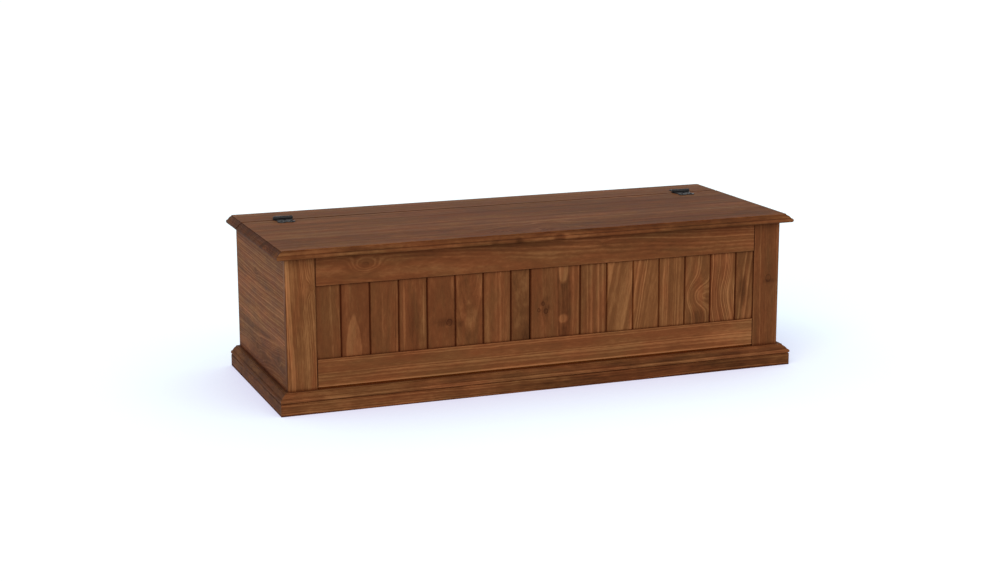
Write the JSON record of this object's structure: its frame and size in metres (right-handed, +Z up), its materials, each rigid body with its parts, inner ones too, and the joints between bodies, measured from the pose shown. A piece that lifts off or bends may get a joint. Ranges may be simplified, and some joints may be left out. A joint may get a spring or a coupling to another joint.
{
  "type": "blanket chest",
  "caption": "Low rectangular wooden blanket chest: framed front of upright grooved boards, moulded base, and a moulded lid hung on a fixed rear rail by black surface hinges.",
  "frame": {"origin": "on the floor, in the middle of the chest's overall length and depth", "axes": "+X along the front to the chest's right end as seen from the front, +Y from the front to the back, +Z up"},
  "size_m": [1.3, 0.5, 0.3883],
  "materials": {
    "frame_pine": "walnut-brown stain under satin varnish, clear knotty grain",
    "panel_pine": "walnut-brown stain under satin varnish, upright grain",
    "side_pine": "walnut-brown stain under satin varnish, level grain",
    "back_pine": "walnut-brown stain, thin satin varnish",
    "floor_ply": "bare plywood",
    "inner_pine": "bare planed pine",
    "base_pine": "walnut-brown stain under satin varnish",
    "lid_pine": "walnut-brown stain under satin varnish",
    "hinge_black": "black satin lacquer on steel",
    "screw_black": "black lacquered steel",
    "screw_steel": "bright zinc"
  },
  "bodies": {
    "carcass": {"front_left_stile": "frame_pine", "front_right_stile": "frame_pine", "front_top_rail": "frame_pine", "front_bottom_rail": "frame_pine", "front_board_01": "panel_pine", "front_board_02": "panel_pine", "front_board_03": "panel_pine", "front_board_04": "panel_pine", "front_board_05": "panel_pine", "front_board_06": "panel_pine", "front_board_07": "panel_pine", "front_board_08": "panel_pine", "front_board_09": "panel_pine", "front_board_10": "panel_pine", "front_board_11": "panel_pine", "front_board_12": "panel_pine", "front_board_13": "panel_pine", "front_board_14": "panel_pine", "front_board_15": "panel_pine", "front_board_16": "panel_pine", "front_board_17": "panel_pine", "left_side_board_bottom": "side_pine", "left_side_board_middle": "side_pine", "left_side_board_top": "side_pine", "right_side_board_bottom": "side_pine", "right_side_board_middle": "side_pine", "right_side_board_top": "side_pine", "back_board_1": "back_pine", "back_board_2": "back_pine", "back_board_3": "back_pine", "floor_panel": "floor_ply", "floor_ledger_front": "inner_pine", "floor_ledger_back": "inner_pine", "front_left_corner_post": "inner_pine", "front_right_corner_post": "inner_pine", "rear_left_corner_post": "inner_pine", "rear_right_corner_post": "inner_pine", "hinge_rail_support": "inner_pine", "plinth_glue_blocks": "inner_pine", "base_moulding_front": "base_pine", "base_moulding_left": "base_pine", "base_moulding_right": "base_pine", "plinth_front": "base_pine", "plinth_left": "base_pine", "plinth_right": "base_pine", "hinge_rail": "lid_pine", "left_hinge_fixed_leaf": "hinge_black", "left_hinge_pin": "hinge_black", "right_hinge_fixed_leaf": "hinge_black", "right_hinge_pin": "hinge_black", "hinge_rail_screws": "screw_black"},
    "lid": {"lid_board_1": "lid_pine", "lid_board_2": "lid_pine", "lid_board_3": "lid_pine", "lid_batten_left": "inner_pine", "lid_batten_right": "inner_pine", "lid_batten_screws": "screw_steel", "left_hinge_lid_leaf": "hinge_black", "right_hinge_lid_leaf": "hinge_black", "hinge_lid_screws": "screw_black"}
  },
  "joints": [
    {"name": "lid_hinge", "type": "hinge", "parent": "carcass", "child": "lid", "pos_m": [0, 0.142, 0.3838], "axis": [-1, 0, 0], "range_deg": [0, 180]}
  ]
}
